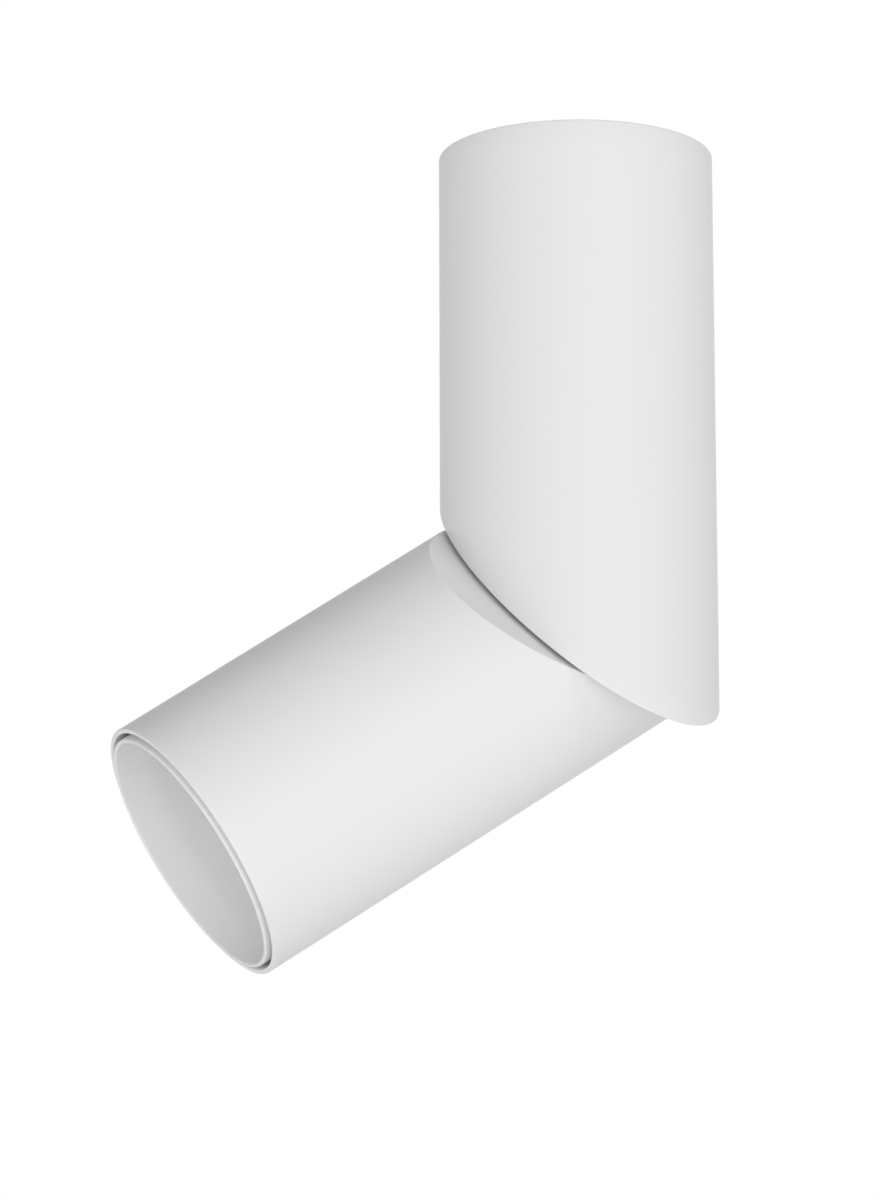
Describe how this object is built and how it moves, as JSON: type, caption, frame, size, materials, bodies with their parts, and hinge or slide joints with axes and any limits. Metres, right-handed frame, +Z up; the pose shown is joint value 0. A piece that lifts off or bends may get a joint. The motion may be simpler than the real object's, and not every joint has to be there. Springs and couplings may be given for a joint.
{
  "type": "surface mounted ceiling spotlight",
  "caption": "White tubular ceiling spotlight whose mitre-cut head turns on a slanted pivot to tilt the beam from straight down to level.",
  "frame": {"origin": "on the upper tube's axis at the ceiling face of the ceiling plate", "axes": "+Z up into the ceiling, +X towards the low tip of the upper tube's mitre cut"},
  "size_m": [0.1369, 0.1788, 0.2441],
  "materials": {
    "white_powder_coat": "matt, fine texture powder coat",
    "white_baffle": "matt white, smooth",
    "zinc_steel": "zinc plated",
    "spring_steel": "bright spring steel",
    "aluminium": "turned aluminium",
    "brass": "turned brass",
    "black_rubber": "soft rubber",
    "white_sleeve": "silicone sleeve",
    "white_nylon": "moulded nylon",
    "black_nylon": "moulded nylon",
    "ceramic": "glazed steatite",
    "lamp_white": "moulded lamp housing",
    "lens": "frosted lens",
    "nickel": "nickel plated"
  },
  "bodies": {
    "ceiling_base": {"ceiling_plate": "zinc_steel", "cable_grommet": "black_rubber", "terminal_block": "white_nylon", "terminal_screws": "zinc_steel", "earth_screw": "brass", "spring_clips": "spring_steel", "clip_rivets": "aluminium", "stop_post": "zinc_steel", "supply_lead": "white_sleeve"},
    "upper_body": {"upper_tube": "white_powder_coat", "swivel_ring": "aluminium", "upper_lead": "white_sleeve", "pivot_tube": "zinc_steel", "upper_pivot_nut": "zinc_steel", "lock_washer": "spring_steel", "mitre_washer": "black_nylon", "inner_washer": "white_nylon", "spring_washer": "spring_steel", "stop_washer": "zinc_steel", "lower_pivot_nut": "zinc_steel", "lead_bushes": "white_nylon"},
    "head": {"head_tube": "white_powder_coat", "stop_pin": "zinc_steel", "lamp_bracket": "zinc_steel", "bracket_screws": "zinc_steel", "holder_screws": "zinc_steel", "lampholder": "ceramic", "head_lead": "white_sleeve", "lamp_body": "lamp_white", "lamp_lens": "lens", "lamp_pins": "nickel"},
    "baffle": {"front_baffle": "white_baffle", "baffle_springs": "spring_steel", "baffle_studs": "zinc_steel"}
  },
  "joints": [
    {"name": "ceiling_swivel", "type": "hinge", "parent": "ceiling_base", "child": "upper_body", "pos_m": [0, 0, 0], "axis": [0, 0, 1], "range_deg": [-173, 173]},
    {"name": "mitre_swivel", "type": "hinge", "parent": "upper_body", "child": "head", "pos_m": [0, 0, -0.135], "axis": [-0.7071, 0, -0.7071], "range_deg": [-160, 172]},
    {"name": "baffle_pull", "type": "slide", "parent": "head", "child": "baffle", "axis": [-0.446, -0.703, -0.554], "range_m": [0, 0.06]}
  ]
}
